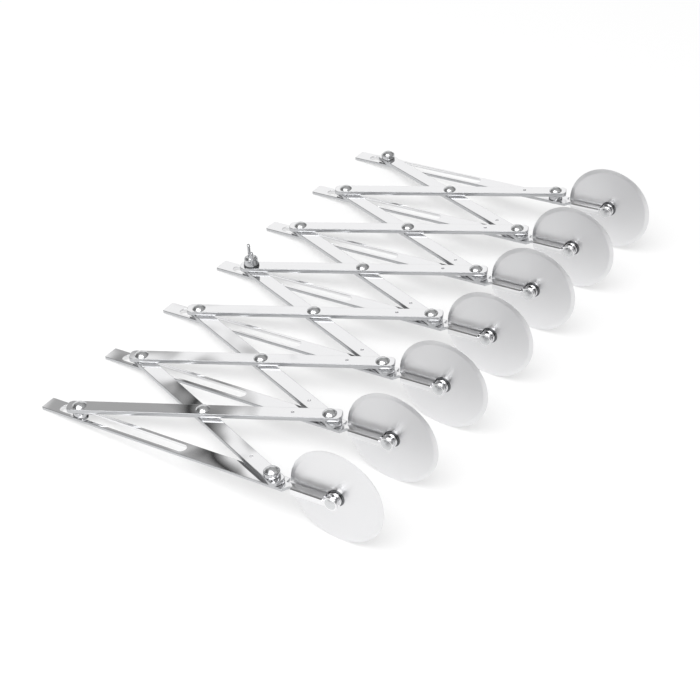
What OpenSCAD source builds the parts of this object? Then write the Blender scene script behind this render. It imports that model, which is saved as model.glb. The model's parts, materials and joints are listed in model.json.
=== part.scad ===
// Expandable dough cutter: seven cutting wheels on slotted arms, joined by two layers of
// crossed links, so that the wheels spread and close together like lazy tongs.
// It stands as on a table, on the wheel rims at the front and on the arm tips at the back.

/* [Lattice] */
// Distance between the two end pivots of a link
link_length = 138; // [120:1:160]
// Angle between a link and the arms as it stands
rest_angle = 23.5; // [8:0.5:60]
// Angle between a link and the arms when closed up
closed_angle = 5.2; // [5:0.1:7]
// Angle between a link and the arms when fully spread
open_angle = 65; // [62:0.5:68]

/* [Arms] */
// Width of the arm strip
arm_width = 10; // [9:0.1:11]
// Thickness of the arm strip
arm_thickness = 1.8; // [1.5:0.1:2.2]
// Width of the long slot for the sliding pin
slot_width = 6.3; // [5.5:0.1:7]
// Solid strip behind the slot
tip_length = 10; // [6:0.5:16]
// Corner radius of the arm tip
tip_corner = 0.8; // [0.4:0.1:2]
// Distance from the front pivot to the wheel axle
axle_ahead = 36; // [34:0.5:45]
// Height of the axle above the lower face of the arm
axle_height = 0.3; // [0:0.1:0.6]
// Outer width of the folded neck
neck_width = 5.2; // [4.8:0.1:5.8]
// Outer depth of the folded neck
neck_depth = 4; // [3.6:0.1:4.6]
// Outer bend radius of the folded neck
neck_bend = 1.1; // [0.6:0.1:1.4]
// Radius of the two round lugs that hold the axle
lug_radius = 4; // [3.6:0.1:4.4]
// Length of the near shoulder ahead of the front pivot
near_shoulder = 11; // [9:0.5:14]
// Length over which that shoulder narrows to the neck
shoulder_taper = 2.4; // [1:0.1:4]

/* [Links] */
// Width of a link
link_width = 8.8; // [8:0.1:10]
// Thickness of a link
link_thickness = 2.5; // [2:0.1:3]
// Length of a link beyond its end pivots
link_overhang = 7; // [5.5:0.1:7.4]
// Corner radius of the link ends
link_corner = 3; // [1:0.1:4]
// Diameter of the small hole near the front of each link
tool_hole_d = 1.8; // [1.2:0.1:2.4]
// Distance of that hole from the front pivot
tool_hole_back = 20; // [14:0.5:26]
// Gap between stacked strips
layer_gap = 0.2; // [0.1:0.05:0.4]

/* [Rivets and pins] */
// Diameter of the front pivot and crossing rivets
rivet_d = 5; // [4:0.1:5.6]
// Diameter of the domed heads
head_d = 8; // [7:0.1:8.6]
// Height of the domed heads
head_height = 2.2; // [1.4:0.1:3]
// Thickness of the flat heads below the arms
tail_height = 0.8; // [0.5:0.1:1]
// Radial running clearance of every pivot
pivot_play = 0.05; // [0.02:0.01:0.09]
// Clearance of a sliding pin on each side of its slot
slide_play = 0.15; // [0.1:0.05:0.3]
// Diameter of the round spacers on the end arms
spacer_d = 8.8; // [8:0.1:9.6]

/* [Wheels] */
// Diameter of the cutting wheels
wheel_d = 55; // [50:1:56]
// Thickness of the disc
disc_thickness = 1.2; // [0.8:0.1:1.6]
// Width of the ground bevel at the rim
bevel_width = 2.5; // [1:0.1:5]
// Thickness left at the cutting edge
edge_thickness = 0.2; // [0.1:0.05:0.4]
// Diameter of the hub flange
hub_d = 9.6; // [9.2:0.1:11]
// Thickness of the hub flange
hub_flange = 0.6; // [0.5:0.1:0.9]
// Diameter of the hub spigot that passes through the disc
spigot_d = 8; // [7:0.1:9]
// Diameter of the rolled hub lip behind the disc
lip_d = 9.6; // [9.2:0.1:11]
// Height of the rolled hub lip
lip_height = 0.6; // [0.4:0.1:0.8]
// Diameter of the wheel axle
axle_d = 4; // [3:0.1:4.6]
// Diameter of the axle heads
axle_head_d = 6.2; // [5.4:0.1:6.8]
// Height of the axle heads
axle_head_height = 0.9; // [0.6:0.1:1.1]
// Side clearance of the wheel on its axle
side_play = 0.2; // [0.1:0.05:0.3]

/* [Clamp] */
// Diameter of the captive washer under the wing nut
washer_d = 9.6; // [9:0.1:13]
// Thickness of that washer
washer_thickness = 1; // [0.6:0.1:1.4]
// Diameter of the wing nut at its base
nut_d = 9.2; // [9:0.1:11]
// Diameter of the wing nut at the top of its body
nut_top_d = 8; // [7.6:0.1:8.6]
// Height of the wing nut body
nut_height = 4.4; // [3.6:0.2:6]
// Distance between the outer ends of the two wings
wing_span = 13.5; // [12.5:0.5:18]
// Height of the wing tips above the washer
wing_height = 11; // [10:0.5:14]
// Thickness of a wing
wing_thickness = 1.8; // [1.4:0.1:2.6]
// Height of the underside of the wings above the washer
wing_clear = 1.4; // [1:0.1:2]
// Angle of the wings across the arm
wing_turn = 45; // [0:1:180]
// Pitch of the clamp thread
thread_pitch = 1; // [0.8:0.05:1.25]
// Depth of the clamp thread
thread_depth = 0.5; // [0.3:0.05:0.6]

/* [Hidden] */
$fn = 96;
arm_count = 7;
cell_count = arm_count - 1;
clamp_arm = 3;
// Overrun of every cut beyond the face it opens
cut = 1;
// Clearance under a head that turns on the strip below it
head_play = 0.1;
// Corner radius of the ends of the wings
wing_corner = 1.6;
// Length of the bend relief between the strip and the folded neck
relief = 1.2;
// Free length between the wheel rim and the shoulder of its arm
shoulder_clear = 0.7;
// Length of the gap between the neck's web and the lugs
web_gap = 0.8;
// Radius of the flat face of the hub around the axle
hub_face_r = lug_radius;
// Thickness of the hub flange at its rim
hub_rim = 0.4;
// Length of thread that shows above the wing nut
stud_spare = 0.8;

// Spread of the lattice and travel of the sliding pins
spread = link_length * sin(rest_angle);
reach = link_length * cos(rest_angle);
pin_d = slot_width - 2 * slide_play;
slot_front = link_length * cos(open_angle) - pin_d / 2 - slide_play;
slot_back = link_length * cos(closed_angle) + pin_d / 2 + slide_play;
tip_back = slot_back + tip_length;

// Heights of the layers above the lower face of the arms
lower_z = arm_thickness + layer_gap;
upper_z = lower_z + link_thickness + layer_gap;
top_z = upper_z + link_thickness;

// Places across the arm of the pieces on an axle
cheek = arm_thickness;
hub_x = neck_width / 2 + side_play;
disc_x = hub_x + hub_flange;
lip_x = disc_x + disc_thickness;
axle_end_x = lip_x + lip_height + side_play;
axle_reach = axle_end_x + axle_head_height;
far_shoulder = axle_ahead - wheel_d / 2 - shoulder_clear;

// Pose in which the wheel rims and the arm tips touch one level plane
stand_run = axle_ahead + tip_back;
tilt = asin(wheel_d / 2 / norm([stand_run, axle_height])) - atan2(axle_height, stand_run);
end_reach = (link_overhang - link_corner) * sin(rest_angle)
    + (link_width / 2 - link_corner) * cos(rest_angle) + link_corner;
x_first = -max(end_reach, arm_width / 2);
x_last = cell_count * spread + max(end_reach, axle_reach);
y_first = axle_height * sin(tilt) - axle_ahead * cos(tilt) - wheel_d / 2;
y_last = tip_back * cos(tilt) + arm_thickness * sin(tilt);

function numbered(name, count) = [for (i = [1 : count]) str(name, "_", i)];

steel = [0.80, 0.81, 0.82];
bright_steel = [0.88, 0.89, 0.90];
dark_steel = [0.45, 0.46, 0.48];

// Turns the level lattice into the standing pose, with the origin under its middle
module standing() {
    translate([-(x_first + x_last) / 2, -(y_first + y_last) / 2, tip_back * sin(tilt)])
        rotate([-tilt, 0, 0])
            children();
}

// Flat strip between two lines across it, with rounded corners at both ends
module strip_outline(half_length, width, corner) {
    for (side = [-1, 1])
        for (end = [-1, 1])
            translate([end * (half_length - corner), side * (width / 2 - corner)])
                circle(corner);
    square([2 * (half_length - corner), width], center = true);
    square([2 * half_length, width - 2 * corner], center = true);
}

// Low dome with its flat face on the level plane
module dome(diameter, height) {
    ball = (height * height + diameter * diameter / 4) / (2 * height);
    intersection() {
        translate([0, 0, height - ball])
            sphere(ball);
        cylinder(d = diameter, h = height);
    }
}

// Round bar along the row, between two places across an arm
module cross_bar(diameter, x_from, x_to) {
    translate([x_from, 0, 0])
        rotate([0, 90, 0])
            cylinder(d = diameter, h = x_to - x_from);
}

// Slotted strip of an arm with its front pivot hole
module arm_strip() {
    back_half = (tip_back + far_shoulder) / 2;
    linear_extrude(arm_thickness)
        difference() {
            union() {
                translate([0, (tip_back - far_shoulder) / 2])
                    rotate(90)
                        strip_outline(back_half, arm_width, tip_corner);
                polygon([[-arm_width / 2, 0], [-arm_width / 2, shoulder_taper - near_shoulder],
                    [-neck_width / 2 + neck_bend, -near_shoulder], [0, -near_shoulder], [0, 0]]);
                translate([-neck_width / 2 + neck_bend, -axle_ahead + lug_radius + web_gap])
                    square([neck_width - 2 * neck_bend, axle_ahead - lug_radius - web_gap]);
            }
            circle(d = rivet_d + 2 * pivot_play);
            translate([-slot_width / 2, slot_front + slot_width / 2])
                square([slot_width, slot_back - slot_front - slot_width]);
            for (y = [slot_front + slot_width / 2, slot_back - slot_width / 2])
                translate([0, y])
                    circle(d = slot_width);
        }
}

// Folded edge of the neck on one side: a rounded bend above and a cheek below
module neck_edge(start) {
    run = axle_ahead - lug_radius - web_gap - start;
    translate([neck_width / 2, -start, arm_thickness])
        rotate([90, 0, 0])
            linear_extrude(run)
                difference() {
                    union() {
                        translate([-neck_bend, -neck_bend])
                            circle(neck_bend);
                        translate([-cheek, -neck_depth])
                            square([cheek, neck_depth - neck_bend]);
                        translate([-cheek, -neck_bend])
                            square([cheek - neck_bend, neck_bend]);
                    }
                    translate([-cheek - neck_bend, -neck_depth])
                        square([neck_bend, neck_depth]);
                }
}

// Plain cheek ahead of the web, with the round lug that holds the axle
module neck_lug() {
    web_end = axle_ahead - lug_radius - web_gap;
    translate([neck_width / 2 - cheek, -axle_ahead, 0]) {
        translate([0, 0, axle_height])
            rotate([0, 90, 0])
                cylinder(r = lug_radius, h = cheek);
        translate([0, 0, arm_thickness - neck_depth])
            cube([cheek, axle_ahead - web_end, neck_depth - neck_bend]);
    }
}

module arm(i) {
    color(bright_steel)
        standing()
            translate([i * spread, 0, 0])
                difference() {
                    union() {
                        arm_strip();
                        neck_edge(far_shoulder + relief);
                        neck_lug();
                        mirror([1, 0, 0]) {
                            neck_edge(near_shoulder + relief);
                            neck_lug();
                        }
                    }
                    translate([0, -axle_ahead, axle_height])
                        cross_bar(axle_d + 2 * pivot_play, -neck_width, neck_width);
                }
}

// Front pivot rivet and wheel axle, both fixed in their arm
module pivot_and_axle(i) {
    color(steel)
        standing()
            translate([i * spread, 0, 0]) {
                translate([0, 0, -tail_height])
                    cylinder(d = head_d, h = tail_height);
                cylinder(d = rivet_d, h = top_z + head_play);
                translate([0, 0, top_z + head_play])
                    dome(head_d, head_height);
                translate([0, -axle_ahead, axle_height]) {
                    cross_bar(axle_d, -neck_width / 2, axle_end_x);
                    translate([-neck_width / 2, 0, 0])
                        rotate([0, -90, 0])
                            dome(axle_head_d, axle_head_height);
                    translate([axle_end_x, 0, 0])
                        rotate([0, 90, 0])
                            dome(axle_head_d, axle_head_height);
                }
            }
}

// Axle line of one arm, turned so that a turned profile runs along the row
module on_axle(i, x_from) {
    standing()
        translate([i * spread + x_from, -axle_ahead, axle_height])
            rotate([0, 90, 0])
                children();
}

module wheel_disc(i) {
    land = (disc_thickness - edge_thickness) / 2;
    color(bright_steel)
        on_axle(i, disc_x)
            rotate_extrude()
                polygon([[spigot_d / 2, 0], [wheel_d / 2 - bevel_width, 0], [wheel_d / 2, land],
                    [wheel_d / 2, disc_thickness - land],
                    [wheel_d / 2 - bevel_width, disc_thickness], [spigot_d / 2, disc_thickness]]);
}

module wheel_hub(i) {
    bore_r = axle_d / 2 + pivot_play;
    spigot_end = hub_flange + disc_thickness;
    color(dark_steel)
        on_axle(i, hub_x)
            rotate_extrude()
                polygon([[bore_r, 0], [hub_face_r, 0], [hub_d / 2, hub_flange - hub_rim],
                    [hub_d / 2, hub_flange], [spigot_d / 2, hub_flange], [spigot_d / 2, spigot_end],
                    [lip_d / 2, spigot_end], [lip_d / 2, spigot_end + lip_height / 2],
                    [spigot_d / 2, spigot_end + lip_height], [bore_r, spigot_end + lip_height]]);
}

// Straight link along its own length, front pivot at the positive end
module link_plate() {
    linear_extrude(link_thickness)
        difference() {
            strip_outline(link_length / 2 + link_overhang, link_width, link_corner);
            translate([link_length / 2, 0])
                circle(d = rivet_d + 2 * pivot_play);
            circle(d = rivet_d + 2 * pivot_play);
            translate([-link_length / 2, 0])
                circle(d = pin_d + 2 * pivot_play);
            translate([link_length / 2 - tool_hole_back, 0])
                circle(d = tool_hole_d);
        }
}

// Countersunk end of a crossing rivet, or its seat with some clearance
module rivet_tail(clear) {
    sink = link_thickness / 2;
    cylinder(d1 = rivet_d + sink + 2 * clear, d2 = rivet_d + 2 * clear, h = sink);
}

module lower_link(i) {
    color(steel)
        standing()
            translate([(i + 1 / 2) * spread, reach / 2, lower_z])
                rotate(-90 - rest_angle)
                    difference() {
                        link_plate();
                        rivet_tail(pivot_play);
                    }
}

module upper_link(i) {
    color(steel)
        standing()
            translate([(i + 1 / 2) * spread, reach / 2, upper_z])
                rotate(-90 + rest_angle)
                    link_plate();
}

// Rivet where two links cross, flush below because the arms close up under it
module crossing_rivet(i) {
    color(bright_steel)
        standing()
            translate([(i + 1 / 2) * spread, reach / 2, 0]) {
                translate([0, 0, lower_z])
                    cylinder(d = rivet_d, h = top_z + head_play - lower_z);
                translate([0, 0, lower_z])
                    rivet_tail(0);
                translate([0, 0, top_z + head_play])
                    dome(head_d, head_height);
            }
}

// Pin that slides in the slot of an arm, with a flat head below the strip
module pin_shank(i, top) {
    translate([i * spread, reach, 0]) {
        translate([0, 0, -slide_play - tail_height])
            cylinder(d = head_d, h = tail_height);
        translate([0, 0, -slide_play])
            cylinder(d = pin_d, h = top + slide_play);
    }
}

// Profile of one turn of thread on the outside of the stud
function thread_turn(z) = [[pin_d / 2 - thread_depth, z], [pin_d / 2, z + thread_pitch / 2]];

module clamp_thread() {
    length = washer_thickness + nut_height + stud_spare;
    turns = floor(length / thread_pitch);
    rotate_extrude()
        polygon(concat([[0, 0]], [for (k = [0 : turns - 1]) each thread_turn(k * thread_pitch)],
            [[pin_d / 2 - thread_depth, turns * thread_pitch], [0, turns * thread_pitch]]));
}

module slide_pin(i) {
    color(bright_steel)
        standing() {
            pin_shank(i, top_z);
            translate([i * spread, reach, top_z])
                if (i == clamp_arm)
                    clamp_thread();
                else
                    dome(head_d, head_height);
        }
}

// Round spacer that takes the place of the link that an end arm lacks
module spacer(i, y, z, hole_d) {
    color(dark_steel)
        standing()
            translate([i * spread, y, z])
                difference() {
                    cylinder(d = spacer_d, h = link_thickness);
                    translate([0, 0, -cut])
                        cylinder(d = hole_d + 2 * pivot_play, h = link_thickness + 2 * cut);
                }
}

// Stud axis of the clamp at a height above the upper link
module on_stud(z) {
    standing()
        translate([clamp_arm * spread, reach, top_z + z])
            children();
}

module clamp_washer() {
    color(steel)
        on_stud(0)
            difference() {
                cylinder(d = washer_d, h = washer_thickness);
                translate([0, 0, -cut])
                    cylinder(d = pin_d + 2 * slide_play, h = washer_thickness + 2 * cut);
            }
}

// One wing of the nut: an upright plate beside the bore that leans outwards to a rounded end
module wing() {
    inner = pin_d / 2 + pivot_play;
    outer = wing_span / 2 - wing_corner;
    rotate([90, 0, 0])
        translate([0, 0, -wing_thickness / 2])
            linear_extrude(wing_thickness) {
                translate([outer, wing_height - wing_corner])
                    circle(wing_corner);
                translate([outer, wing_height - 2 * wing_corner])
                    circle(wing_corner);
                translate([outer - wing_corner, wing_height - 2 * wing_corner])
                    square([2 * wing_corner, wing_corner]);
                polygon([[inner, wing_clear], [nut_d / 2, wing_clear],
                    [outer + wing_corner / 2, wing_height - 3 * wing_corner],
                    [outer + wing_corner, wing_height - 2 * wing_corner],
                    [outer - wing_corner, wing_height - wing_corner], [inner, nut_height]]);
            }
}

module wing_nut() {
    color(bright_steel)
        on_stud(washer_thickness)
            difference() {
                union() {
                    cylinder(d1 = nut_d, d2 = nut_top_d, h = nut_height);
                    rotate(wing_turn)
                        wing();
                    rotate(wing_turn + 180)
                        wing();
                }
                translate([0, 0, -cut])
                    cylinder(d = pin_d + 2 * pivot_play, h = nut_height + 2 * cut);
            }
}

for (i = [0 : arm_count - 1]) {
    arm(i);
    pivot_and_axle(i);
    wheel_disc(i);
    wheel_hub(i);
    slide_pin(i);
}
for (i = [0 : cell_count - 1]) {
    lower_link(i);
    upper_link(i);
    crossing_rivet(i);
}
spacer(0, reach, lower_z, pin_d);  // spacer_first_rear
spacer(0, 0, upper_z, rivet_d);  // spacer_first_front
spacer(cell_count, reach, upper_z, pin_d);  // spacer_last_rear
spacer(cell_count, 0, lower_z, rivet_d);  // spacer_last_front
clamp_washer();
wing_nut();
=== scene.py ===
"""Expandable dough cutter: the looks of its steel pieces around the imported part.

Sizes are in millimetres in the level lattice: x along the row of arms, y from the wheels
to the tips, z up from the lower face of the arms. One function turns them into the row frame.
"""
import json
import math

import bpy
import numpy as np
from mathutils import Matrix


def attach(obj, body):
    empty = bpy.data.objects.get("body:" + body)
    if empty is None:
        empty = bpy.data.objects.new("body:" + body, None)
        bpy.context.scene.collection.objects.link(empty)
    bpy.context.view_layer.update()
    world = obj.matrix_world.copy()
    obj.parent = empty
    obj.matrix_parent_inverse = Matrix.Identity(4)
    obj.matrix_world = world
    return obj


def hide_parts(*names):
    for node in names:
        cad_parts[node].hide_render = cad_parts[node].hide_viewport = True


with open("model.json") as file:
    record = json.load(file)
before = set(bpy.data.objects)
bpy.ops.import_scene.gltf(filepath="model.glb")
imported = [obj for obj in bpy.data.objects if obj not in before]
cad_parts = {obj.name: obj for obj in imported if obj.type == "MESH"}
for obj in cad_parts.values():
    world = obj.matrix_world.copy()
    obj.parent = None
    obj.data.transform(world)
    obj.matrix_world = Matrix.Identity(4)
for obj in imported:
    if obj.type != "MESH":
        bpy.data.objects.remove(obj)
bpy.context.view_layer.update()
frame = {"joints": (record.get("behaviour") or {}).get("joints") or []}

# Slotted arms. Each is a strip of stainless steel, punched with a long slot and a pivot hole,
# then polished to a mirror. Its front is folded into a narrow channel that ends in two lugs.
MM, METRE = 1e-3, 1000.0
ARM_COUNT = 7
MIDDLE_ARM = ARM_COUNT // 2
LINK_LENGTH = 138.0
REST_ANGLE = math.radians(23.5)
CLOSED_ANGLE = math.radians(5.2)
OPEN_ANGLE = math.radians(65.0)
SPREAD = LINK_LENGTH * math.sin(REST_ANGLE)
ARM_WIDTH, ARM_THICK = 10.0, 1.8
STRIP_EDGE, HOLE_EDGE = 0.3, 0.12
SLOT_WIDTH, SLIDE_PLAY = 6.3, 0.15
PIN_D = SLOT_WIDTH - 2 * SLIDE_PLAY
SLOT_FRONT = LINK_LENGTH * math.cos(OPEN_ANGLE) - PIN_D / 2 - SLIDE_PLAY
SLOT_BACK = LINK_LENGTH * math.cos(CLOSED_ANGLE) + PIN_D / 2 + SLIDE_PLAY
TIP_LENGTH, TIP_CORNER = 10.0, 0.8
TIP_BACK = SLOT_BACK + TIP_LENGTH
AXLE_AHEAD, AXLE_HEIGHT = 36.0, 0.3
WHEEL_D, WHEEL_ROOM = 55.0, 0.7
FAR_SHOULDER = AXLE_AHEAD - WHEEL_D / 2 - WHEEL_ROOM
NEAR_SHOULDER, SHOULDER_TAPER = 11.0, 2.4
SHOULDER_ROUND, NECK_ROUND = 0.6, 0.4
NECK_WIDTH, NECK_DEPTH, NECK_BEND = 5.2, 4.0, 1.1
FOLD_LIFT, FOLD_CORNER, FOLD_OVERLAP = 0.01, 0.3, 0.8
LUG_RADIUS, LUG_ROOM, LUG_EDGE = 4.0, 0.8, 0.25
WEB_END = AXLE_AHEAD - LUG_RADIUS - LUG_ROOM
RELIEF = 1.2
LAYER_GAP, LINK_THICK = 0.2, 2.5
LOWER_Z = ARM_THICK + LAYER_GAP
UPPER_Z = LOWER_Z + LINK_THICK + LAYER_GAP
RIVET_D, PIVOT_PLAY = 5.0, 0.05
HOLE_STEPS, LUG_STEPS = 32, 40
NEARLY_STRAIGHT = 1.55
SHARP_FROM = math.radians(35.0)
SMOOTHEST_SHARE, ROUGHEST_SHARE = 0.8, 1.25

spread_joint = next(row for row in frame["joints"] if row["name"] == "spread")
hinge_axis = np.array(spread_joint["axis"], float)
tilt_sin, tilt_cos = hinge_axis[1], hinge_axis[2]
basis = np.array([[1.0, 0.0, 0.0], [0.0, tilt_cos, -tilt_sin], [0.0, tilt_sin, tilt_cos]])
spread_pivot = np.array([MIDDLE_ARM * SPREAD, 0.0, UPPER_Z - LAYER_GAP]) * MM
level_origin = np.array(spread_joint["pos_m"], float) - spread_pivot @ basis


def stand(level):
    """Row position in metres of level lattice points in millimetres: origin + x ex + y ey + z ez."""
    return level_origin + (np.asarray(level, float) * MM) @ basis


def linear(hex_colour):
    """Linear RGBA of an sRGB hex colour: ((c + 0.055) / 1.055) ^ 2.4 above the toe, c / 12.92 in it."""
    srgb = np.array([int(hex_colour[start:start + 2], 16) for start in (1, 3, 5)]) / 255.0
    rgb = np.where(srgb > 0.04045, ((srgb + 0.055) / 1.055) ** 2.4, srgb / 12.92)
    return (*rgb.tolist(), 1.0)


def add_node(tree, kind, settings=None, values=None, links=None):
    """Add one shader node, set its properties and input values, and link outputs into its inputs."""
    made = tree.nodes.new(kind)
    for name, value in (settings or {}).items():
        setattr(made, name, value)
    for name, value in (values or {}).items():
        made.inputs[name].default_value = value
    for name, output in (links or {}).items():
        tree.links.new(output, made.inputs[name])
    return made


def steel(name, colour, roughness, wave_mm, wave_share, grain_mm, grain_share, pattern=0.0):
    """Stainless steel with a slow unevenness of its polish, wave_mm wide, and a fine grain, grain_mm wide.

    The shares give the height of each from its width, and pattern picks one of many slow waves.
    The grain is drawn wider than real polishing marks, which are too fine to show.
    """
    material = bpy.data.materials.new(name)
    material.use_nodes = True
    tree = material.node_tree
    shader = tree.nodes["Principled BSDF"]
    shader.inputs["Base Color"].default_value = linear(colour)
    shader.inputs["Metallic"].default_value = 1.0
    place = add_node(tree, "ShaderNodeTexCoord").outputs["Object"]
    wave = add_node(tree, "ShaderNodeTexNoise", {"noise_dimensions": "4D"},
                    {"Scale": METRE / wave_mm, "Detail": 1.0, "W": pattern}, {"Vector": place})
    grain = add_node(tree, "ShaderNodeTexNoise", None, {"Scale": METRE / grain_mm, "Detail": 3.0},
                     {"Vector": place})
    rough = add_node(tree, "ShaderNodeMapRange", None,
                     {"To Min": roughness * SMOOTHEST_SHARE, "To Max": roughness * ROUGHEST_SHARE},
                     {"Value": grain.outputs["Fac"]})
    tree.links.new(rough.outputs["Result"], shader.inputs["Roughness"])
    slow = add_node(tree, "ShaderNodeBump", None, {"Strength": 1.0, "Distance": wave_mm * MM * wave_share},
                    {"Height": wave.outputs["Fac"]})
    fine = add_node(tree, "ShaderNodeBump", None, {"Strength": 1.0, "Distance": grain_mm * MM * grain_share},
                    {"Height": grain.outputs["Fac"], "Normal": slow.outputs["Normal"]})
    tree.links.new(fine.outputs["Normal"], shader.inputs["Normal"])
    return material


# Polished stainless strip: a near mirror that bends what it reflects a little along its length.
strip_steel = steel("polished_stainless_strip", "#efeff0", roughness=0.04, wave_mm=45.0, wave_share=0.042,
                    grain_mm=1.5, grain_share=0.0008, pattern=15.0)
# Cut edge of the strip: tumbled, not polished, so it is rougher than the faces. Its grey colour is painted
# shade: it stands in for the dark line that the rounded edge reflects along each bright face.
edge_steel_painted_grey = steel("tumbled_edge_painted_grey", "#c2c3c5", roughness=0.3, wave_mm=6.0, wave_share=0.004,
                  grain_mm=0.6, grain_share=0.004)


def grid(rows, columns, first=0):
    """Quads of a grid of points in row order, from index first, closed along the columns."""
    row, column = np.meshgrid(np.arange(rows - 1), np.arange(columns), indexing="ij")
    ahead = (column + 1) % columns
    here, below = row * columns, (row + 1) * columns
    quads = np.stack([here + column, here + ahead, below + ahead, below + column], -1)
    return (quads.reshape(-1, 4) + first).tolist()


def capped_grid(rows, columns):
    """Quads of a closed grid of points, and one face over its first row and one over its last."""
    last = (rows - 1) * columns
    return grid(rows, columns) + [list(range(columns))[::-1], list(range(last, last + columns))]


def rounded(corners, radii, steps=4):
    """Open polyline whose inner corners are arcs: each of radius r is cut back by r / tan(half angle)."""
    corners = np.asarray(corners, float)
    runs = [corners[:1]]
    for before, corner, after, radius in zip(corners, corners[1:], corners[2:], radii[1:]):
        to_before = (before - corner) / np.linalg.norm(before - corner)
        to_after = (after - corner) / np.linalg.norm(after - corner)
        half = 0.5 * math.acos(float(np.clip(to_before @ to_after, -1.0, 1.0)))
        if radius <= 0.0 or half > NEARLY_STRAIGHT:
            runs.append(corner[None])
            continue
        back = radius / math.tan(half)
        both = to_before + to_after
        centre = corner + both / np.linalg.norm(both) * radius / math.sin(half)
        start, end = corner + to_before * back - centre, corner + to_after * back - centre
        share = np.linspace(0.0, 1.0, steps + 1)[:, None]
        swing = math.pi - 2 * half
        arc = np.sin((1 - share) * swing) * start + np.sin(share * swing) * end
        runs.append(centre + arc / math.sin(swing))
    runs.append(corners[-1:])
    return np.concatenate(runs)


def edge_profile(thick, edge, steps=3):
    """Inset and height down the rim of a plate: a quarter arc from the top, the wall, a quarter arc below."""
    turn = np.linspace(0.0, math.pi / 2, steps + 1)
    inset = np.concatenate([edge * (1 - np.sin(turn)), edge * (1 - np.cos(turn))])
    height = np.concatenate([thick - edge * (1 - np.cos(turn)), edge * (1 - np.sin(turn))])
    return inset, height


def inward_of(outline):
    """Unit normals that point into a closed outline, at right angles to the line between neighbours."""
    along = np.roll(outline, -1, 0) - np.roll(outline, 1, 0)
    along /= np.linalg.norm(along, axis=1)[:, None]
    return np.stack([-along[:, 1], along[:, 0]], -1)


def lifted(flat, height):
    """Rows of flat points, each row at its own height, as one list of places."""
    level = np.broadcast_to(height[:, None, None], flat.shape[:2] + (1,))
    return np.concatenate([flat, level], -1).reshape(-1, 3)


def plate(outline, thick, holes):
    """Plate with a rounded rim, outline + inset * inward normal, and holes, middle + (radius + flare) normal.

    A hole is (place on the long axis, radius, half straight, countersink depth), and a countersink opens by
    half its depth below. The outline starts on the axis, and both faces are split along the axis.
    """
    inset, height = edge_profile(thick, STRIP_EDGE)
    points = [lifted(outline[None] + inset[:, None, None] * inward_of(outline)[None], height)]
    count = len(outline)
    faces = [quad[::-1] for quad in grid(len(inset), count)]
    far_end = int(np.argmin(np.where(outline[:, 1] == 0, outline[:, 0], np.inf)))
    angle = np.linspace(0.0, 2 * math.pi, HOLE_STEPS, endpoint=False)
    normal = np.stack([np.cos(angle), np.sin(angle)], -1)
    first, rings = len(points[0]), []
    for along, radius, straight, sink in sorted(holes):
        flare, fall = edge_profile(thick, HOLE_EDGE)
        if sink > 0.0:
            flare = np.append(flare[:len(flare) // 2], [0.0, sink / 2])
            fall = np.append(fall[:len(fall) // 2], [sink, 0.0])
        middle = np.stack([along + straight * np.sign(np.round(normal[:, 0], 6)), np.zeros(HOLE_STEPS)], -1)
        points.append(lifted(middle[None] + (radius + flare)[:, None, None] * normal[None], fall))
        faces += grid(len(flare), HOLE_STEPS, first)
        rings.append((first, first + (len(flare) - 1) * HOLE_STEPS))
        first += len(points[-1])
    for level, pick in ((0, 0), ((len(inset) - 1) * count, 1)):
        upper = [level + step for step in range(far_end + 1)]
        lower = [level + step for step in range(far_end, count)] + [level]
        for pair in rings:
            upper += [pair[pick] + step for step in range(HOLE_STEPS // 2, -1, -1)]
        for pair in reversed(rings):
            lower += [pair[pick] + (-step) % HOLE_STEPS for step in range(HOLE_STEPS // 2 + 1)]
        faces += [upper, lower] if pick == 0 else [upper[::-1], lower[::-1]]
    return np.concatenate(points), faces


def swept(section, y_from, y_to):
    """Closed section in x and z carried straight along y, with both ends capped."""
    count = len(section)
    ends = [np.stack([section[:, 0], np.full(count, y), section[:, 1]], -1) for y in (y_from, y_to)]
    return np.concatenate(ends), capped_grid(2, count)


def turned_on(points, about=(0.0, 0.0, 0.0), angle=0.0):
    """Points turned by an angle about the vertical and moved to a place: R p + c."""
    cosine, sine = math.cos(angle), math.sin(angle)
    turn = np.array([[cosine, sine, 0.0], [-sine, cosine, 0.0], [0.0, 0.0, 1.0]])
    return points @ turn + np.asarray(about, float)


def joined(shells):
    """Several shells of points and faces as one, with the face indices moved on."""
    first, points, faces = 0, [], []
    for shell_points, shell_faces in shells:
        points.append(shell_points)
        faces += [[index + first for index in face] for face in shell_faces]
        first += len(shell_points)
    return np.concatenate(points), faces


def piece(name, shells, material, body, slot, *nodes, cut_faces=0):
    """Mesh object at the origin from level shells, in place of CAD nodes: broad faces flat, the rest smooth.

    The first cut_faces faces are the cut edge of a strip and take its finish, whose grey is painted shade.
    """
    points, faces = joined(shells)
    mesh = bpy.data.meshes.new(name)
    mesh.from_pydata(stand(points).tolist(), [], faces)
    mesh.validate()
    mesh.set_sharp_from_angle(angle=SHARP_FROM)
    mesh.polygons.foreach_set("use_smooth", [face.loop_total <= 4 for face in mesh.polygons])
    mesh.update()
    made = bpy.data.objects.new(name, mesh)
    bpy.context.scene.collection.objects.link(made)
    made.data.materials.append(material)
    # The cut edge takes the rougher edge finish, whose grey is painted shade for the dark reflected edge
    # line.
    if cut_faces:
        made.data.materials.append(edge_steel_painted_grey)
        mesh.polygons.foreach_set("material_index", [int(face.index < cut_faces) for face in mesh.polygons])
    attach(made, body)
    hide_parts(*nodes)


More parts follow.
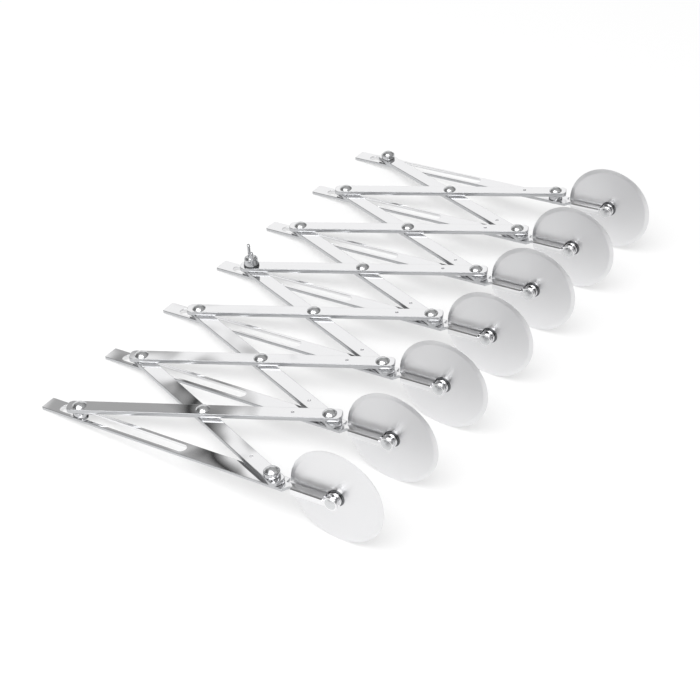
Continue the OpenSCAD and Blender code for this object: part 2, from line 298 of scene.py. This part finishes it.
def lug(side):
    """Round lug: an arc of radius (r - inset) with a straight tail, over outline and inset, along x."""
    inset, across = edge_profile(ARM_THICK, LUG_EDGE)
    rise = ARM_THICK - NECK_BEND - AXLE_HEIGHT
    drop = ARM_THICK - NECK_DEPTH - AXLE_HEIGHT
    tail = AXLE_AHEAD - WEB_END
    share = np.linspace(0.0, 1.0, LUG_STEPS)
    radius = LUG_RADIUS - inset
    begin = np.arcsin((rise - inset) / radius)
    end = 2 * math.pi + np.arcsin((drop + inset) / radius)
    angle = begin[:, None] + share[None] * (end - begin)[:, None]
    run, height = radius[:, None] * np.cos(angle), radius[:, None] * np.sin(angle)
    run = np.concatenate([run, np.full((len(inset), 2), tail)], 1)
    height = np.concatenate([height, (drop + inset)[:, None], (rise - inset)[:, None]], 1)
    x = side * (NECK_WIDTH / 2 - ARM_THICK + np.broadcast_to(across[:, None], run.shape))
    points = np.stack([x, run - AXLE_AHEAD, height + AXLE_HEIGHT], -1).reshape(-1, 3)
    faces = capped_grid(*run.shape)
    return points, faces if side < 0 else [face[::-1] for face in faces]


half_neck = NECK_WIDTH / 2
cheek_x, foot_z = half_neck - ARM_THICK, ARM_THICK - NECK_DEPTH
flat_x, fold_z = half_neck - NECK_BEND, ARM_THICK + FOLD_LIFT
channel = rounded([(0, fold_z), (-half_neck, fold_z), (-half_neck, foot_z), (-cheek_x, foot_z), (-cheek_x, 0),
                   (cheek_x, 0), (cheek_x, foot_z), (half_neck, foot_z), (half_neck, fold_z), (0, fold_z)],
                  [0, NECK_BEND] + [FOLD_CORNER] * 6 + [NECK_BEND, 0])[:-1]
far_fold = rounded([(cheek_x, fold_z), (cheek_x, foot_z), (half_neck, foot_z), (half_neck, fold_z),
                    (cheek_x, fold_z)], [0, FOLD_CORNER, FOLD_CORNER, NECK_BEND, 0])[:-1]
strip_end = NEAR_SHOULDER + RELIEF + FOLD_OVERLAP
half_arm = ARM_WIDTH / 2
strip_outline = rounded([(TIP_BACK, 0), (TIP_BACK, half_arm), (SHOULDER_TAPER - NEAR_SHOULDER, half_arm),
                         (-NEAR_SHOULDER, flat_x), (-strip_end, flat_x), (-strip_end, 0),
                         (-strip_end, -flat_x), (-FAR_SHOULDER, -flat_x), (-FAR_SHOULDER, -half_arm),
                         (TIP_BACK, -half_arm), (TIP_BACK, 0)],
                        [0, TIP_CORNER, SHOULDER_ROUND, NECK_ROUND, NECK_ROUND, 0, NECK_ROUND, NECK_ROUND,
                         SHOULDER_ROUND, TIP_CORNER, 0], steps=6)[:-1]
slot_half = (SLOT_BACK - SLOT_FRONT - SLOT_WIDTH) / 2
strip_points, strip_faces = plate(strip_outline, ARM_THICK,
                                  [((SLOT_FRONT + SLOT_BACK) / 2, SLOT_WIDTH / 2, slot_half, 0.0),
                                   (0.0, RIVET_D / 2 + PIVOT_PLAY, 0.0, 0.0)])
arm_shells = [(turned_on(strip_points, angle=math.pi / 2), strip_faces),
              swept(channel, -NEAR_SHOULDER - RELIEF, -WEB_END),
              swept(far_fold, -FAR_SHOULDER - RELIEF, -NEAR_SHOULDER - RELIEF), lug(-1), lug(1)]
EDGE_ROWS = len(edge_profile(ARM_THICK, STRIP_EDGE)[0]) - 1
for arm in range(ARM_COUNT):
    placed = [(turned_on(points, (arm * SPREAD, 0, 0)), faces) for points, faces in arm_shells]
    piece("polished_arm_%d" % (arm + 1), placed, strip_steel, "arm_body_%d" % (arm + 1), "strip_steel",
          "arm_%d" % (arm + 1), cut_faces=EDGE_ROWS * len(strip_outline))

# Links. Straight strips of the same polished steel, thicker than the arms, in two layers that
# cross between neighbouring arms. Each is punched for its three pivots and has one small plain hole.
CELL_COUNT = ARM_COUNT - 1
REACH = LINK_LENGTH * math.cos(REST_ANGLE)
LINK_WIDTH, LINK_OVERHANG, LINK_CORNER = 8.8, 7.0, 3.0
SMALL_HOLE_D, SMALL_HOLE_BACK = 1.8, 20.0
RIVET_SINK = LINK_THICK / 2
end_x, side_y = LINK_LENGTH / 2 + LINK_OVERHANG, LINK_WIDTH / 2
link_outline = rounded([(end_x, 0), (end_x, side_y), (-end_x, side_y), (-end_x, 0), (-end_x, -side_y),
                        (end_x, -side_y), (end_x, 0)],
                       [0, LINK_CORNER, LINK_CORNER, 0, LINK_CORNER, LINK_CORNER, 0], steps=8)[:-1]
for layer, z, turn, sink in (("lower", LOWER_Z, -math.pi / 2 - REST_ANGLE, RIVET_SINK),
                             ("upper", UPPER_Z, -math.pi / 2 + REST_ANGLE, 0.0)):
    link_points, link_faces = plate(link_outline, LINK_THICK,
                                    [(LINK_LENGTH / 2, RIVET_D / 2 + PIVOT_PLAY, 0.0, 0.0),
                                     (0.0, RIVET_D / 2 + PIVOT_PLAY, 0.0, sink),
                                     (-LINK_LENGTH / 2, PIN_D / 2 + PIVOT_PLAY, 0.0, 0.0),
                                     (LINK_LENGTH / 2 - SMALL_HOLE_BACK, SMALL_HOLE_D / 2, 0.0, 0.0)])
    for cell in range(CELL_COUNT):
        placed = (turned_on(link_points, ((cell + 0.5) * SPREAD, REACH / 2, z), turn), link_faces)
        piece("polished_%s_link_%d" % (layer, cell + 1), [placed], strip_steel,
              "%s_link_body_%d" % (layer, cell + 1), "strip_steel", "%s_link_%d" % (layer, cell + 1),
              cut_faces=EDGE_ROWS * len(link_outline))

# Rivets and sliding pins. Turned from bright stainless bar; their domes stand on the top layer
# and flat heads hold them below. The crossing rivets end flush, countersunk into the lower link.
TOP_Z = UPPER_Z + LINK_THICK
HEAD_D, HEAD_HEIGHT, HEAD_PLAY, HEAD_RIM = 8.0, 2.2, 0.1, 0.22
TAIL_HEIGHT, TAIL_EDGE, TAIL_SEAT = 0.8, 0.25, 0.1
AXLE_D, AXLE_HEAD_D, AXLE_HEAD_HEIGHT, SIDE_PLAY = 4.0, 6.2, 0.9, 0.2
HUB_X = NECK_WIDTH / 2 + SIDE_PLAY
HUB_FLANGE, DISC_THICK, LIP_HEIGHT = 0.6, 1.2, 0.6
AXLE_END_X = HUB_X + HUB_FLANGE + DISC_THICK + LIP_HEIGHT + SIDE_PLAY
SPOKES, CAP_STEPS, RIM_STEPS = 64, 14, 5


def lathe(profile, about, along="z", spokes=SPOKES):
    """Turned solid: radius and height of a profile carried round an axis, (r cos a, r sin a, h)."""
    profile = np.asarray(profile, float)
    solid = profile[0, 0] == 0
    angle = np.linspace(0.0, 2 * math.pi, spokes, endpoint=False)
    inner = profile[1:-1] if solid else profile
    x, y = inner[:, :1] * np.cos(angle), inner[:, :1] * np.sin(angle)
    height = np.broadcast_to(inner[:, 1:], x.shape)
    points = np.stack([x, y, height], -1).reshape(-1, 3)
    faces = grid(len(inner), spokes)
    here = np.arange(spokes)
    ahead = (here + 1) % spokes
    last = (len(inner) - 1) * spokes
    if solid:
        points = np.concatenate([points, [[0, 0, profile[0, 1]], [0, 0, profile[-1, 1]]]])
        low, high = len(points) - 2, len(points) - 1
        faces += np.stack([np.full(spokes, low), ahead, here], -1).tolist()
        faces += np.stack([np.full(spokes, high), last + here, last + ahead], -1).tolist()
    else:
        faces += np.stack([ahead, here, last + here, last + ahead], -1).tolist()
    if along == "x":
        points = points[:, [2, 0, 1]]
    return points + np.asarray(about, float), faces


def dome(diameter, height, base):
    """Arc of a low spherical cap from its rim to its pole, as radius and height, with a rounded rim."""
    ball = (height ** 2 + diameter ** 2 / 4) / (2 * height)
    lean = np.linspace(math.asin((diameter / 2 - HEAD_RIM) / ball), 0.0, CAP_STEPS)
    cap = np.stack([ball * np.sin(lean), base + height - ball + ball * np.cos(lean)], -1)
    low = cap[0, 1] - base
    turn = np.linspace(0.0, math.pi / 2, RIM_STEPS)[:-1]
    rim = np.stack([diameter / 2 - HEAD_RIM * (1 - np.cos(turn)), base + low * np.sin(turn)], -1)
    return np.concatenate([rim, cap])


def flat_head(base, shank_d):
    """Flat lower head under a base height, from its middle out to its rim and back to the shank."""
    return rounded([(0, base - TAIL_HEIGHT), (HEAD_D / 2, base - TAIL_HEIGHT), (HEAD_D / 2, base),
                    (shank_d / 2, base)], [0, TAIL_EDGE, TAIL_SEAT, 0])


rivet_dome = dome(HEAD_D, HEAD_HEIGHT, TOP_Z + HEAD_PLAY)
front_rivet = np.concatenate([flat_head(0, RIVET_D), [[RIVET_D / 2, TOP_Z + HEAD_PLAY]], rivet_dome])
axle_dome = dome(AXLE_HEAD_D, AXLE_HEAD_HEIGHT, 0.0)
axle = np.concatenate([(axle_dome * [1, -1])[::-1] - [0, half_neck],
                       [[AXLE_D / 2, -half_neck], [AXLE_D / 2, AXLE_END_X]], axle_dome + [0, AXLE_END_X]])
crossing_tail = RIVET_D / 2 + RIVET_SINK / 2
crossing = np.concatenate([[[0, LOWER_Z], [crossing_tail, LOWER_Z], [RIVET_D / 2, LOWER_Z + RIVET_SINK],
                            [RIVET_D / 2, TOP_Z + HEAD_PLAY]], rivet_dome])
pin_foot = flat_head(-SLIDE_PLAY, PIN_D)
slide_pin = np.concatenate([pin_foot, [[PIN_D / 2, TOP_Z]], dome(HEAD_D, HEAD_HEIGHT, TOP_Z)])

# Turned stainless: bright all round, with the faint unevenness of a pressed head.
rivet_steel = steel("turned_bright_stainless", "#d6d7d8", roughness=0.24, wave_mm=6.0, wave_share=0.004,
                    grain_mm=0.6, grain_share=0.003)
for arm in range(ARM_COUNT):
    shells = [lathe(front_rivet, (arm * SPREAD, 0, 0)),
              lathe(axle, (arm * SPREAD, -AXLE_AHEAD, AXLE_HEIGHT), "x")]
    piece("front_rivet_and_axle_%d" % (arm + 1), shells, rivet_steel, "arm_body_%d" % (arm + 1),
          "rivet_steel", "pivot_and_axle_%d" % (arm + 1))
for arm in range(ARM_COUNT):
    if arm != MIDDLE_ARM:
        body = "lower_link_body_6" if arm == CELL_COUNT else "upper_link_body_%d" % (arm + 1)
        piece("sliding_pin_%d" % (arm + 1), [lathe(slide_pin, (arm * SPREAD, REACH, 0))], rivet_steel, body,
              "rivet_steel", "slide_pin_%d" % (arm + 1))
for cell in range(CELL_COUNT):
    shell = lathe(crossing, ((cell + 0.5) * SPREAD, REACH / 2, 0))
    piece("flush_crossing_rivet_%d" % (cell + 1), [shell], rivet_steel, "lower_link_body_%d" % (cell + 1),
          "rivet_steel", "crossing_rivet_%d" % (cell + 1))

# Spacers. Short turned steel sleeves that fill the layer which an end arm lacks.
# Each sits loosely on the pin or rivet that passes through it.
SPACER_D, SPACER_EDGE, BORE_EDGE = 8.8, 0.25, 0.1
# Turned steel left a little dull: greyer than the heads, so that the joints read apart from the strips.
sleeve_steel = steel("turned_dull_stainless", "#c2c3c5", roughness=0.2, wave_mm=6.0, wave_share=0.008,
                     grain_mm=0.6, grain_share=0.006)


def sleeve(outer, bore, height, edge):
    """Closed ring profile of a sleeve with rounded rims, as radius and height."""
    return rounded([(bore, height / 2), (bore, 0), (outer, 0), (outer, height), (bore, height),
                    (bore, height / 2)], [0, BORE_EDGE, edge, edge, BORE_EDGE, 0])[:-1]


for name, arm, y, z, bore, body in (
        ("first_rear", 0, REACH, LOWER_Z, PIN_D, "upper_link_body_1"),
        ("first_front", 0, 0.0, UPPER_Z, RIVET_D, "arm_body_1"),
        ("last_rear", CELL_COUNT, REACH, UPPER_Z, PIN_D, "lower_link_body_6"),
        ("last_front", CELL_COUNT, 0.0, LOWER_Z, RIVET_D, "arm_body_7")):
    ring = sleeve(SPACER_D / 2, bore / 2 + PIVOT_PLAY, LINK_THICK, SPACER_EDGE)
    piece("spacer_sleeve_" + name, [lathe(ring, (arm * SPREAD, y, z))], sleeve_steel, body, "hub_steel",
          "spacer_" + name)

# Wheels. Each is a stainless disc ground to a thin rim, with a satin face, riveted onto a
# turned hub: the flange shows on the arm's side and the rolled lip holds the disc on the other.
BEVEL_WIDTH, BEVEL_ROUND, EDGE_THICK, EDGE_ROUND = 2.5, 0.4, 0.2, 0.08
HUB_D, SPIGOT_D, LIP_D, HUB_RIM = 9.6, 8.0, 9.6, 0.4
HUB_EDGE, HUB_SHOULDER, LIP_ROLL = 0.3, 0.15, 0.2
WHEEL_SPOKES = 128
land = (DISC_THICK - EDGE_THICK) / 2
disc = rounded([(SPIGOT_D / 2, DISC_THICK / 2), (SPIGOT_D / 2, 0), (WHEEL_D / 2 - BEVEL_WIDTH, 0),
                (WHEEL_D / 2, land), (WHEEL_D / 2, DISC_THICK - land),
                (WHEEL_D / 2 - BEVEL_WIDTH, DISC_THICK), (SPIGOT_D / 2, DISC_THICK),
                (SPIGOT_D / 2, DISC_THICK / 2)],
               [0, 0, BEVEL_ROUND, EDGE_ROUND, EDGE_ROUND, BEVEL_ROUND, 0, 0])[:-1]
hub_bore, spigot_end = AXLE_D / 2 + PIVOT_PLAY, HUB_FLANGE + DISC_THICK
hub = rounded([(hub_bore, HUB_FLANGE), (hub_bore, 0), (LUG_RADIUS, 0), (HUB_D / 2, HUB_FLANGE - HUB_RIM),
               (HUB_D / 2, HUB_FLANGE), (SPIGOT_D / 2, HUB_FLANGE), (SPIGOT_D / 2, spigot_end),
               (LIP_D / 2, spigot_end), (LIP_D / 2, spigot_end + LIP_HEIGHT / 2),
               (SPIGOT_D / 2, spigot_end + LIP_HEIGHT), (hub_bore, spigot_end + LIP_HEIGHT),
               (hub_bore, HUB_FLANGE)],
              [0, BORE_EDGE, HUB_EDGE, HUB_SHOULDER, 0, 0, 0, BORE_EDGE, HUB_SHOULDER, LIP_ROLL, BORE_EDGE,
               0])[:-1]
# Satin stainless sheet: a light even grey that mirrors the lug softly.
disc_steel = steel("satin_stainless_disc", "#e8e8e9", roughness=0.36, wave_mm=60.0, wave_share=0.002,
                   grain_mm=1.2, grain_share=0.002)
# Turned steel painted dark: its grey is painted shade and painted reflection, the dark block between the lug
# and the bright disc.
hub_steel = steel("turned_steel_painted_dark", "#6c6d6f", roughness=0.25, wave_mm=6.0, wave_share=0.008,
                  grain_mm=0.6, grain_share=0.006)
for arm in range(ARM_COUNT):
    for name, node, profile, x, finish, slot_name in (
            ("satin_wheel_disc", "wheel_disc", disc, HUB_X + HUB_FLANGE, disc_steel, "disc_steel"),
            ("turned_wheel_hub", "wheel_hub", hub, HUB_X, hub_steel, "hub_steel")):
        shell = lathe(profile, (arm * SPREAD + x, -AXLE_AHEAD, AXLE_HEIGHT), "x", WHEEL_SPOKES)
        piece("%s_%d" % (name, arm + 1), [shell], finish, "wheel_body_%d" % (arm + 1), slot_name,
              "%s_%d" % (node, arm + 1))

# Clamp. A threaded stud takes the place of the sliding pin on the middle arm, and a cast wing nut
# with a washer under it locks the spread. The nut is as dull as the spacers; the washer is as dark as the
# hubs, painted shade under the nut.
WASHER_D, WASHER_THICK, WASHER_EDGE = 9.6, 1.0, 0.2
NUT_D, NUT_TOP_D, NUT_HEIGHT = 9.2, 8.0, 4.4
NUT_BORE_EDGE, NUT_FOOT_EDGE, NUT_TOP_EDGE = 0.3, 0.4, 0.6
WING_SPAN, WING_HEIGHT, WING_THICK, WING_CLEAR, WING_CORNER = 13.5, 11.0, 1.8, 1.4, 1.6
WING_BITE, WING_ROOT_MIDDLE, WING_ROOT_DROP = 0.4, 2.4, 0.8
WING_ROOT = NUT_TOP_D / 2 - WING_BITE
WING_FILLET, WING_ELBOW, WING_EDGE, TIP_SLACK = 0.6, 1.6, 0.7, 0.1
WING_TIP = WING_CORNER - TIP_SLACK
WING_TURN = math.radians(45.0)
THREAD_PITCH, THREAD_DEPTH, STUD_SPARE = 1.0, 0.5, 0.8
turns = math.floor((WASHER_THICK + NUT_HEIGHT + STUD_SPARE) / THREAD_PITCH)
crest = np.arange(turns * 2 + 1)
thread = np.stack([PIN_D / 2 - THREAD_DEPTH * (1 - crest % 2), crest * THREAD_PITCH / 2 + TOP_Z], -1)
stud = np.concatenate([pin_foot, thread, [[0, thread[-1, 1]]]])
piece("threaded_clamp_stud", [lathe(stud, (MIDDLE_ARM * SPREAD, REACH, 0))], rivet_steel, "upper_link_body_4",
      "rivet_steel", "slide_pin_4")
washer = sleeve(WASHER_D / 2, PIN_D / 2 + SLIDE_PLAY, WASHER_THICK, WASHER_EDGE)
# The washer's dark grey is painted shade: the shadow gap under the nut.
piece("plain_clamp_washer", [lathe(washer, (MIDDLE_ARM * SPREAD, REACH, TOP_Z))], hub_steel,
      "upper_link_body_4", "rivet_steel", "clamp_washer")

nut_bore = PIN_D / 2 + PIVOT_PLAY
nut_body = rounded([(nut_bore, NUT_HEIGHT / 2), (nut_bore, 0), (NUT_D / 2, 0), (NUT_TOP_D / 2, NUT_HEIGHT),
                    (nut_bore, NUT_HEIGHT), (nut_bore, NUT_HEIGHT / 2)],
                   [0, NUT_BORE_EDGE, NUT_FOOT_EDGE, NUT_TOP_EDGE, NUT_BORE_EDGE, 0])[:-1]


def wing():
    """Wing over outline and inset: a closed outline shrunk by the inset, with a rounded rim across it."""
    outer = WING_SPAN / 2 - WING_CORNER
    outline = rounded([(WING_ROOT, WING_ROOT_MIDDLE), (WING_ROOT, WING_CLEAR), (NUT_D / 2, WING_CLEAR),
                       (outer + WING_CORNER, WING_HEIGHT - 3 * WING_CORNER),
                       (outer + WING_CORNER, WING_HEIGHT), (outer - WING_CORNER, WING_HEIGHT),
                       (WING_ROOT, NUT_HEIGHT - WING_ROOT_DROP), (WING_ROOT, WING_ROOT_MIDDLE)],
                      [0, 0, WING_FILLET, WING_ELBOW, WING_TIP, WING_TIP, WING_FILLET, 0], steps=8)[:-1]
    inset, across = edge_profile(WING_THICK, WING_EDGE, steps=5)
    rim = outline[None] + inset[:, None, None] * inward_of(outline)[None]
    y = np.broadcast_to(across[:, None] - WING_THICK / 2, rim.shape[:2])
    points = np.stack([rim[..., 0], y, rim[..., 1]], -1).reshape(-1, 3)
    return points, capped_grid(len(inset), len(outline))


nut_at = (MIDDLE_ARM * SPREAD, REACH, TOP_Z + WASHER_THICK)
wing_points, wing_faces = wing()
nut_shells = [lathe(nut_body, nut_at)]
nut_shells += [(turned_on(wing_points, nut_at, WING_TURN + turn), wing_faces) for turn in (0, math.pi)]
piece("cast_wing_nut", nut_shells, sleeve_steel, "nut_body", "rivet_steel", "wing_nut")

# Table and light. A plain white table top under one large soft panel, above the near end of the row.
# A pale tent stands round it for the mirrors, open and darker on some sides, with one dark seam.
TABLE_HALF = 4.0
TABLE_GLOW_SHARE = 0.45
table_corners = [(-TABLE_HALF, -TABLE_HALF, 0), (TABLE_HALF, -TABLE_HALF, 0), (TABLE_HALF, TABLE_HALF, 0),
                 (-TABLE_HALF, TABLE_HALF, 0)]
floor_mesh = bpy.data.meshes.new("table_top")
floor_mesh.from_pydata(table_corners, [], [(0, 1, 2, 3)])
floor = bpy.data.objects.new("table_top", floor_mesh)
bpy.context.scene.collection.objects.link(floor)
# Matt white table: seen or mirrored, part of it glows at white, so it stays pale and keeps the shadow.
paper = bpy.data.materials.new("white_table")
paper.use_nodes = True
tree = paper.node_tree
tree.nodes.clear()
ray = add_node(tree, "ShaderNodeLightPath")
seen = add_node(tree, "ShaderNodeMath", {"operation": "MAXIMUM"}, None,
                {0: ray.outputs["Is Camera Ray"], 1: ray.outputs["Is Glossy Ray"]})
seen = add_node(tree, "ShaderNodeMath", {"operation": "MAXIMUM"}, None,
                {0: seen.outputs[0], 1: ray.outputs["Is Transmission Ray"]})
share = add_node(tree, "ShaderNodeMath", {"operation": "MULTIPLY"}, {1: TABLE_GLOW_SHARE},
                 {0: seen.outputs[0]})
lit = add_node(tree, "ShaderNodeBsdfDiffuse", None, {"Color": linear("#f6f6f6")})
glow = add_node(tree, "ShaderNodeEmission", None, {"Color": linear("#ffffff"), "Strength": 1.0})
mixed = add_node(tree, "ShaderNodeMixShader", None, None,
                 {0: share.outputs[0], 1: lit.outputs[0], 2: glow.outputs[0]})
add_node(tree, "ShaderNodeOutputMaterial", None, None, {"Surface": mixed.outputs[0]})
floor.data.materials.append(paper)

world = bpy.data.worlds.new("studio")
bpy.context.scene.world = world
world.use_nodes = True
tree = world.node_tree
tree.nodes.clear()
ray = add_node(tree, "ShaderNodeLightPath")
place = add_node(tree, "ShaderNodeTexCoord").outputs["Generated"]
part_of = add_node(tree, "ShaderNodeSeparateXYZ", None, None, {0: place})
height = part_of.outputs["Z"]
bearing = add_node(tree, "ShaderNodeMath", {"operation": "ARCTAN2"}, None,
                   {0: part_of.outputs["Y"], 1: part_of.outputs["X"]})
bearing = add_node(tree, "ShaderNodeMapRange", None, {"From Min": -math.pi, "From Max": math.pi},
                   {"Value": bearing.outputs[0]}).outputs["Result"]


def tent_wall(stops):
    """Grey level round the tent, from stops of bearing in degrees, -180 at the row's near end, and level."""
    ramp = add_node(tree, "ShaderNodeValToRGB", None, None, {"Fac": bearing})
    marks = ramp.color_ramp.elements
    marks[0].color = (stops[0][1],) * 3 + (1.0,)
    marks[1].color = (stops[-1][1],) * 3 + (1.0,)
    for degrees, level in stops[1:-1]:
        marks.new(degrees / 360.0 + 0.5).color = (level,) * 3 + (1.0,)
    return ramp.outputs["Color"]


def above(elevation, soft):
    """Share from 0 to 1 of the tent above an elevation in degrees, over a soft edge."""
    edges = [math.sin(math.radians(elevation + side * soft)) for side in (-0.5, 0.5)]
    made = add_node(tree, "ShaderNodeMapRange", {"interpolation_type": "SMOOTHSTEP"},
                    {"From Min": edges[0], "From Max": edges[1]}, {"Value": height})
    return made.outputs["Result"]


MIDDLE_FROM, MIDDLE_SOFT = 26.8, 3.0
HIGH_FROM, HIGH_SOFT = 36.0, 4.0
ROOF_FROM, ROOF_SOFT, ROOF_LEVEL = 65.0, 8.0, 0.5
ROOM_STRENGTH = 0.85
low_wall = tent_wall([(-180, 1.0), (-176, 0.9), (-166, 0.12), (-128, 0.12), (-116, 0.5), (-80, 0.22),
                      (8, 0.22), (18, 1.0), (62, 1.0), (78, 0.5), (92, 0.15), (150, 0.15), (168, 0.9),
                      (180, 1.0)])
# The dark seam of the tent is the narrow stop at a bearing of 45 degrees.
middle_wall = tent_wall([(-180, 0.6), (-166, 0.08), (-128, 0.08), (-116, 0.4), (-80, 0.3), (8, 0.3),
                         (20, 1.0), (43.4, 1.0), (43.7, 0.03), (46.0, 0.03), (46.4, 0.42), (80, 0.4),
                         (92, 0.15), (150, 0.15), (180, 0.6)])
high_wall = tent_wall([(-180, 0.35), (-166, 0.06), (-128, 0.06), (-116, 0.4), (-80, 0.45), (8, 0.45),
                       (24, 0.45), (56, 0.42), (105, 0.38), (115, 0.2), (170, 0.2), (180, 0.35)])
tent = low_wall
for elevation, soft, ring in ((MIDDLE_FROM, MIDDLE_SOFT, middle_wall), (HIGH_FROM, HIGH_SOFT, high_wall)):
    tent = add_node(tree, "ShaderNodeMix", {"data_type": "RGBA"}, None,
                    {0: above(elevation, soft), 6: tent, 7: ring}).outputs[2]
tent = add_node(tree, "ShaderNodeMix", {"data_type": "RGBA"}, {7: (ROOF_LEVEL, ROOF_LEVEL, ROOF_LEVEL, 1.0)},
                {0: above(ROOF_FROM, ROOF_SOFT), 6: tent}).outputs[2]
back = add_node(tree, "ShaderNodeBackground", None, {"Color": linear("#ffffff"), "Strength": 1.0})
room = add_node(tree, "ShaderNodeBackground", None, {"Color": linear("#dcdcdc"), "Strength": ROOM_STRENGTH})
mirrored = add_node(tree, "ShaderNodeBackground", None, {"Strength": 1.0}, {"Color": tent})
mixed = add_node(tree, "ShaderNodeMixShader", None, None,
                 {0: ray.outputs["Is Glossy Ray"], 1: room.outputs[0], 2: mirrored.outputs[0]})
mixed = add_node(tree, "ShaderNodeMixShader", None, None,
                 {0: ray.outputs["Is Camera Ray"], 1: mixed.outputs[0], 2: back.outputs[0]})
add_node(tree, "ShaderNodeOutputWorld", None, None, {"Surface": mixed.outputs[0]})

PANEL_PLACE = np.array([-1.67, -0.24, 2.7])
PANEL_LENGTH, PANEL_WIDTH, PANEL_WATTS = 3.4, 1.9, 85.0
lamp = bpy.data.lights.new("panel_left", "AREA")
lamp.shape = "RECTANGLE"
lamp.size, lamp.size_y = PANEL_LENGTH, PANEL_WIDTH
lamp.energy = PANEL_WATTS
panel = bpy.data.objects.new("panel_left", lamp)
bpy.context.scene.collection.objects.link(panel)
away = PANEL_PLACE / np.linalg.norm(PANEL_PLACE)
side = np.cross([0.0, 0.0, 1.0], away)
side /= np.linalg.norm(side)
panel_place = np.eye(4)
panel_place[:3, :] = np.stack([side, np.cross(away, side), away, PANEL_PLACE], -1)
panel.matrix_world = Matrix(panel_place.tolist())

# Camera. It stands at the photograph's place, given in the level lattice: the three directions
# of its view and its place in millimetres.
LENS, SENSOR_WIDTH, FAR_CLIP = 81.82, 36.0, 50.0
camera_data = bpy.data.cameras.new("photo_camera")
camera_data.sensor_width = SENSOR_WIDTH
camera_data.lens = LENS
camera_data.clip_end = FAR_CLIP
camera = bpy.data.objects.new("photo_camera", camera_data)
bpy.context.scene.collection.objects.link(camera)
right = np.array([0.52450, -0.84891, -0.06529]) @ basis
down = np.array([-0.49879, -0.24422, -0.83160]) @ basis
forward = np.array([0.69001, 0.46874, -0.55152]) @ basis
camera_place = np.eye(4)
camera_place[:3, :] = np.stack([right, -down, -forward, stand([-504.56, -396.35, 499.6])], -1)
camera.matrix_world = Matrix(camera_place.tolist())
bpy.context.scene.camera = camera
bpy.context.scene.view_settings.view_transform = "Standard"
